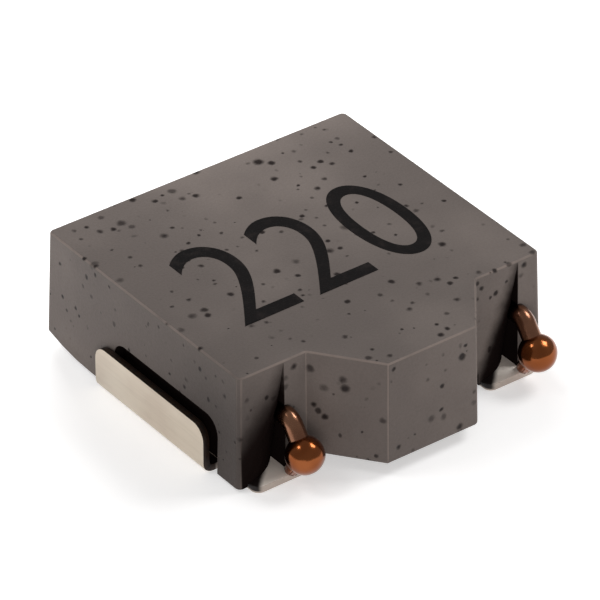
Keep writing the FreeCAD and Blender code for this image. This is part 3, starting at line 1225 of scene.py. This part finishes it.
@dataclass
class FusedBead:
    """Ball of weld metal at a lead's end, with its neck down to the tongue.

    Attributes:
        side: Which lead it ends.
        centre: Middle of the ball.
        radius: Its radius.
        divisions: How finely the ball is divided.
        foot_y: Where the neck stands on the tongue.
        foot_z: Height of that place.
        neck_cap: Cosine within which the ball's faces go into the neck.
        neck_steps: Shares of the neck that are drawn one after the other.
        neck_flare: How much wider each share ends.
        lump: Height of the lumps of the surface.
        lump_size: Size of those lumps.
        ironing: How often the lumps are smoothed.
        crisp_angle: Edges sharper than this many degrees stay crisp.
    """

    side: Side
    centre: Vector
    radius: float = 0.205
    divisions: int = 5
    foot_y: float = -1.42
    foot_z: float = 0.08
    neck_cap: float = 0.93
    neck_steps: tuple[float, float] = (0.45, 0.55)
    neck_flare: float = 1.06
    lump: float = 0.010
    lump_size: float = 0.16
    ironing: int = 4
    crisp_angle: float = 60

    def draw_neck(self, bench: Bench) -> None:
        """Draw the ball's underside down to the tongue.

        Args:
            bench: The ball.
        """
        foot = Vector((self.centre.x, self.foot_y, self.foot_z))
        down = (foot - self.centre).normalized()
        lowest = self.centre + down * self.radius
        bench.edit()
        bench.pick(Kind.FACE, lambda face: face.normal.dot(down) > self.neck_cap)
        for share in self.neck_steps:
            Bench.extrude((foot - lowest) * share)
            bpy.ops.transform.resize(value=(self.neck_flare, self.neck_flare, 1.0))
        bench.done()

    def build(self, material: bpy.types.Material) -> Bench:
        """Form the ball and draw its neck down.

        Args:
            material: Its finish.

        Returns:
            The bench with the bead.
        """
        Bench.clear()
        bpy.ops.mesh.primitive_ico_sphere_add(
            subdivisions=self.divisions, radius=self.radius * MM, location=metres(self.centre))
        bench = Bench.latest(self.side.named("fused_bead"))
        bench.settle()
        self.draw_neck(bench)
        texture = bpy.data.textures.new(bench.piece.name, "CLOUDS")
        texture.noise_scale = self.lump_size * MM
        bench.modify("DISPLACE", texture=texture, strength=self.lump * MM, mid_level=0.5,
                     texture_coords="LOCAL")
        bench.modify("SMOOTH", factor=0.5, iterations=self.ironing)
        bench.smooth(self.crisp_angle)
        finish_piece(bench, "weld_copper", [material], self.side.named("weld_bead"))
        return bench


@dataclass
class FoldedTerminal:
    """Terminal folded from one sheet: solder pad, side plate and tongue.

    The sizes are those of the right terminal. The steps say how finely each rounding is
    divided, and the last three values how near a place an edge, a corner or a cut counts.
    """

    side: Side
    sheet: float = 0.08
    bend_inside: float = 0.04
    plate_inner: float = 1.9377
    plate_front: float = -0.867
    plate_back: float = 1.015
    plate_top: float = 0.555
    plate_round: float = 0.17
    pad_inner: float = 1.14
    pad_round: float = 0.10
    tongue_inner: float = 1.16
    tongue_outer: float = 1.80
    tongue_tip: float = -1.47
    tongue_round: float = 0.09
    edge_round: float = 0.008
    bend_steps: int = 6
    round_steps: int = 8
    edge_steps: int = 2
    edge_angle: float = 50
    crisp_angle: float = 30
    merge: float = 0.0005
    edge_near: float = 0.001
    corner_near: float = 0.003
    cut_near: float = 0.0001

    @property
    def bend_x(self) -> float:
        """Where the flat pad ends and the bend begins, on the right side."""
        return self.plate_inner - self.bend_inside

    def place(self, x: float, y: float, z: float) -> Vector:
        """A point of the right terminal, moved to this side."""
        return Vector((self.side.value * x, y, z))

    def cut_at(self, x: float) -> None:
        """Score the whole sheet along a line of constant X.

        Args:
            x: Place of the line on the right terminal.
        """
        bpy.ops.mesh.select_all(action="SELECT")
        bpy.ops.mesh.bisect(
            plane_co=metres(self.place(x, 0, 0)), plane_no=(1, 0, 0),
            threshold=self.cut_near * MM)

    def cut_blank(self) -> Bench:
        """Cut the flat pad, scored where the tongue joins it.

        Returns:
            The bench with the pad, in edit mode.
        """
        wide = self.bend_x - self.pad_inner
        deep = self.plate_back - self.plate_front
        middle = self.place(self.pad_inner + wide / 2, self.plate_front + deep / 2, 0)
        Bench.clear()
        bpy.ops.mesh.primitive_plane_add(size=1, location=metres(middle))
        bench = Bench.latest(self.side.named("folded_terminal"))
        bench.piece.scale = metres((wide, deep, 1))
        bench.settle()
        bench.edit()
        self.cut_at(self.tongue_outer)
        self.cut_at(self.tongue_inner)
        return bench

    def fold_plate(self, bench: Bench) -> None:
        """Fold the side plate up from the pad's outer edge.

        Args:
            bench: The sheet, in edit mode.
        """
        radius = self.bend_inside + self.sheet
        edge_x = self.place(self.bend_x, 0, 0).x
        bench.pick(Kind.EDGE, lambda edge: abs(bench.edge_middle(edge).x - edge_x) < self.edge_near)
        Bench.spin(self.bend_steps, math.pi / 2, self.place(self.bend_x, 0, radius),
                   (0, -self.side.value, 0))
        Bench.extrude((0, 0, self.plate_top - radius))

    def draw_tongue(self, bench: Bench) -> None:
        """Draw the tongue forwards from the pad's front edge.

        Args:
            bench: The sheet, in edit mode.
        """
        middle_x = (self.tongue_inner + self.tongue_outer) / 2
        root = self.place(middle_x, self.plate_front, 0)
        bench.pick(Kind.EDGE,
                   lambda edge: (bench.edge_middle(edge) - root).length < self.edge_near)
        Bench.extrude((0, self.tongue_tip - self.plate_front, 0))

    def round_corners(self, bench: Bench, radius: float, *places: Vector) -> None:
        """Round the sheet's corners at these places.

        Args:
            bench: The sheet, in edit mode.
            radius: Their radius.
            *places: The corners, in millimetres.
        """
        def is_corner(vertex: bpy.types.MeshVertex) -> bool:
            """Whether the vertex is one of the corners."""
            return any((vertex.co / MM - place).length < self.corner_near for place in places)

        bench.pick(Kind.VERT, is_corner)
        bpy.ops.mesh.bevel(offset=radius * MM, segments=self.round_steps, affect="VERTICES",
                           clamp_overlap=False)

    def face_down(self, bench: Bench) -> None:
        """Turn the sheet's faces so that the pad looks down at the board.

        Args:
            bench: The sheet.
        """
        pad = max(bench.piece.data.polygons, key=lambda face: face.area * abs(face.normal.z))
        if pad.normal.z < 0:
            return
        bench.edit_all()
        bpy.ops.mesh.flip_normals()
        bench.done()

    def build(self, face: bpy.types.Material, edge: bpy.types.Material) -> Bench:
        """Fold the sheet.

        Args:
            face: Finish of its two faces.
            edge: Finish of its cut edges.

        Returns:
            The bench with the terminal.
        """
        outer = self.plate_inner + self.sheet
        bench = self.cut_blank()
        self.fold_plate(bench)
        self.draw_tongue(bench)
        self.round_corners(bench, self.tongue_round,
                           self.place(self.tongue_inner, self.tongue_tip, 0),
                           self.place(self.tongue_outer, self.tongue_tip, 0))
        self.round_corners(bench, self.plate_round,
                           self.place(outer, self.plate_front, self.plate_top),
                           self.place(outer, self.plate_back, self.plate_top))
        self.round_corners(bench, self.pad_round, self.place(self.pad_inner, self.plate_back, 0))
        bench.close_up(self.merge)
        self.face_down(bench)
        for _ in (face, edge):
            bench.piece.data.materials.append(None)
        bench.modify("SOLIDIFY", thickness=self.sheet * MM, offset=-1, use_even_offset=True,
                     material_offset_rim=1)
        bench.modify("BEVEL", width=self.edge_round * MM, segments=self.edge_steps,
                     limit_method="ANGLE", angle_limit=math.radians(self.edge_angle))
        bench.smooth(self.crisp_angle)
        finish_piece(bench, "tinned_sheet", [face, edge], self.side.named("terminal"))
        return bench


@dataclass(frozen=True)
class Numeral:
    """One stamped numeral and the cell that it fills on the top face."""

    figure: str
    left: float
    right: float


@dataclass
class StampedFigures:
    """Plain numerals stamped on the top face."""

    numerals: tuple[Numeral, ...] = (
        Numeral("2", -1.30, -0.56),
        Numeral("2", -0.36, 0.38),
        Numeral("0", 0.58, 1.30),
    )
    foot_y: float = -0.61
    head_y: float = 0.86
    top_z: float = 1.37
    film: float = 0.003
    weight: float = -0.007
    curve_steps: int = 16
    merge: float = 0.0002
    crisp_angle: float = 20

    def one(self, numeral: Numeral, number: int) -> Bench:
        """Cut one numeral to its cell.

        Args:
            numeral: The numeral.
            number: Its place in the row.

        Returns:
            The bench with the numeral.
        """
        Bench.clear()
        bpy.ops.object.text_add(location=(0, 0, 0))
        text = bpy.context.object.data
        text.body = numeral.figure
        text.offset = self.weight
        text.resolution_u = self.curve_steps
        bpy.ops.object.convert(target="MESH")
        bench = Bench.latest(f"figure_{number}")
        mesh = bench.piece.data
        xs = [vertex.co.x for vertex in mesh.vertices]
        ys = [vertex.co.y for vertex in mesh.vertices]
        wide = (numeral.right - numeral.left) / (max(xs) - min(xs))
        tall = (self.head_y - self.foot_y) / (max(ys) - min(ys))
        shift = Vector((numeral.left - min(xs) * wide, self.foot_y - min(ys) * tall, self.top_z))
        mesh.transform(
            Matrix.Scale(MM, 4) @ Matrix.Translation(shift) @ Matrix.Diagonal((wide, tall, 1, 1)))
        return bench

    def build(self, material: bpy.types.Material) -> Bench:
        """Stamp the whole row as one film.

        Args:
            material: The ink.

        Returns:
            The bench with the figures.
        """
        benches = [self.one(numeral, index) for index, numeral in enumerate(self.numerals)]
        benches[0].focus()
        for bench in benches:
            bench.piece.select_set(True)
        bpy.ops.object.join()
        bench = Bench.latest("stamped_figures")
        bench.edit_all()
        bpy.ops.mesh.remove_doubles(threshold=self.merge * MM)
        Bench.extrude((0, 0, self.film))
        bench.close_up()
        bench.smooth(self.crisp_angle)
        finish_piece(bench, "composite", [material])
        return bench


@dataclass(frozen=True)
class Lamp:
    """One soft lamp of the studio.

    Attributes:
        name: Its name.
        place: Where it stands, in millimetres.
        aim: What it looks at, in millimetres.
        size: Its side, in millimetres.
        level: How bright a white card facing it at the aim would be.
        mirrored: Whether glossy surfaces show it.
        tint: Its colour.
    """

    name: str
    place: Point
    aim: Point
    size: float
    level: float
    mirrored: bool = True
    tint: Colour = (1.0, 1.0, 1.0)

    def hang(self) -> None:
        """Add the lamp to the scene."""
        reach = metres(self.place) - metres(self.aim)
        data = bpy.data.lights.new(self.name, "AREA")
        data.shape = "SQUARE"
        data.size = self.size * MM
        data.energy = self.level * math.pi ** 2 * reach.length_squared
        data.color = self.tint
        lamp = bpy.data.objects.new(self.name, data)
        lamp.location = metres(self.place)
        lamp.rotation_euler = reach.to_track_quat("Z", "Y").to_euler()
        lamp.visible_camera = False
        lamp.visible_glossy = self.mirrored
        bpy.context.scene.collection.objects.link(lamp)


@dataclass
class Studio:
    """Pale floor, soft lamps and the camera.

    Attributes:
        floor_size: Side of the floor.
        floor_white: Its colour.
        floor_roughness: How matt it is.
        floor_specular: How little it shines.
        floor_lift: Light that it adds of its own, to the camera and in mirror images only.
        sky_level: Strength of the surroundings on the part.
        azimuth: Turn of the camera about the part, in degrees.
        elevation: Its height above the floor, in degrees.
        target: What it turns about.
        distance: How far it stands from there.
        lens: Its focal length.
        sensor: Width of its sensor.
        framing: Where the target stands in the picture, in pixels from the middle.
        clip: Nearest and farthest distance that it sees, in metres.
        pixels_per_mm: Scale of the picture at the target.
        lamps: The lamps.
    """

    floor_size: float = 900
    floor_white: Colour = (0.86, 0.86, 0.86)
    floor_roughness: float = 0.9
    floor_specular: float = 0.1
    floor_lift: float = 0.43
    sky_level: float = 0.30
    azimuth: float = -36.77
    elevation: float = 34.27
    target: Point = (0.0, 0.20, 0.915)
    distance: float = 58.6
    lens: float = 343.1
    sensor: float = 36
    framing: tuple[float, float] = (0.9, 16.3)
    clip: Span = (0.001, 10.0)
    pixels_per_mm: float = 97.45
    lamps: tuple[Lamp, ...] = (
        Lamp("key_right", (29.3, -10.2, 39.4), (0, 0, 0.8), 18, 0.34),
        Lamp("key_left", (-25.0, 11.0, 41.8), (0, 0, 0.8), 12, 0.12),
        Lamp("front_left", (-26, -40, 14), (0, 0, 0.8), 22, 0.35, False, (1.0, 0.93, 0.90)),
        Lamp("left_kick", (-4.6, 4.0, 1.7), (-1.9, 1.9, 0.8), 1.6, 0.26),
        Lamp("back_low", (2.0, 7.0, 4.2), (0, 1.6, 1.37), 4, 1.15, False),
    )

    def lay_floor(self) -> None:
        """Lay the floor, which keeps the part's shadow."""
        Bench.clear()
        bpy.ops.mesh.primitive_plane_add(size=self.floor_size * MM, location=(0, 0, 0))
        bench = Bench.latest("studio_floor")
        pattern = Pattern("pale_floor")
        rays = pattern.add("LightPath").outputs
        seen = pattern.any_of(rays["Is Camera Ray"], rays["Is Glossy Ray"],
                              rays["Is Transmission Ray"])
        pattern.set(Base_Color=self.floor_white, Roughness=self.floor_roughness,
                    Specular_IOR_Level=self.floor_specular, Emission_Color=(1.0, 1.0, 1.0),
                    Emission_Strength=pattern.times(seen, self.floor_lift))
        bench.piece.data.materials.append(pattern.material)

    def light_sky(self) -> None:
        """White surroundings: plain light on the part, full white to the camera."""
        world = bpy.data.worlds.new("studio_sky")
        world.use_nodes = True
        tree = world.node_tree
        tree.nodes.clear()
        output = tree.nodes.new("ShaderNodeOutputWorld")
        mix = tree.nodes.new("ShaderNodeMixShader")
        rays = tree.nodes.new("ShaderNodeLightPath")
        tree.links.new(rays.outputs["Is Camera Ray"], mix.inputs[0])
        for number, level in enumerate((self.sky_level, 1.0), start=1):
            background = tree.nodes.new("ShaderNodeBackground")
            background.inputs["Color"].default_value = (1, 1, 1, 1)
            background.inputs["Strength"].default_value = level
            tree.links.new(background.outputs[0], mix.inputs[number])
        tree.links.new(mix.outputs[0], output.inputs["Surface"])
        bpy.context.scene.world = world

    def set_camera(self) -> None:
        """Stand the camera where the fit puts it, aimed so that the framing matches."""
        turn = math.radians(self.azimuth)
        lift = math.radians(self.elevation)
        back = Vector((math.sin(turn) * math.cos(lift), -math.cos(turn) * math.cos(lift),
                       math.sin(lift)))
        right = Vector((math.cos(turn), math.sin(turn), 0))
        up = back.cross(right)
        spot = Vector(self.target)
        aim = spot - (right * self.framing[0] + up * self.framing[1]) / self.pixels_per_mm
        place = spot + back * self.distance
        data = bpy.data.cameras.new("studio_camera")
        data.lens = self.lens
        data.sensor_width = self.sensor
        data.clip_start, data.clip_end = self.clip
        camera = bpy.data.objects.new("studio_camera", data)
        camera.location = metres(place)
        camera.rotation_euler = (place - aim).to_track_quat("Z", "Y").to_euler()
        bpy.context.scene.collection.objects.link(camera)
        bpy.context.scene.camera = camera

    def build(self) -> None:
        """Set up the whole studio."""
        bpy.context.scene.view_settings.view_transform = "Standard"
        self.lay_floor()
        self.light_sky()
        for lamp in self.lamps:
            lamp.hang()
        self.set_camera()


@dataclass
class Inductor:
    """The whole part, piece by piece."""

    nodes: dict[str, bpy.types.Object]
    winding: WireWinding = field(default_factory=WireWinding)

    def build(self) -> None:
        """Build and dress every piece."""
        tin = TinFinish().make()
        cut = CutEdgeFinish().make()
        enamel = ENAMEL.make()
        fused = FUSED.make()
        PressedBlock(self.nodes["moulded_body"]).build(CompositeFinish().make())
        self.winding.build(enamel)
        for side in Side:
            FusedBead(side, self.winding.bead_centre(side)).build(fused)
            FoldedTerminal(side).build(tin, cut)
        StampedFigures().build(InkFinish().make())


def main() -> None:
    """Load the frame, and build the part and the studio."""
    logging.basicConfig(level=logging.INFO, format="%(message)s")
    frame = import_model()
    Inductor(frame["nodes"]).build()
    Studio().build()


if __name__ == "__main__":
    main()
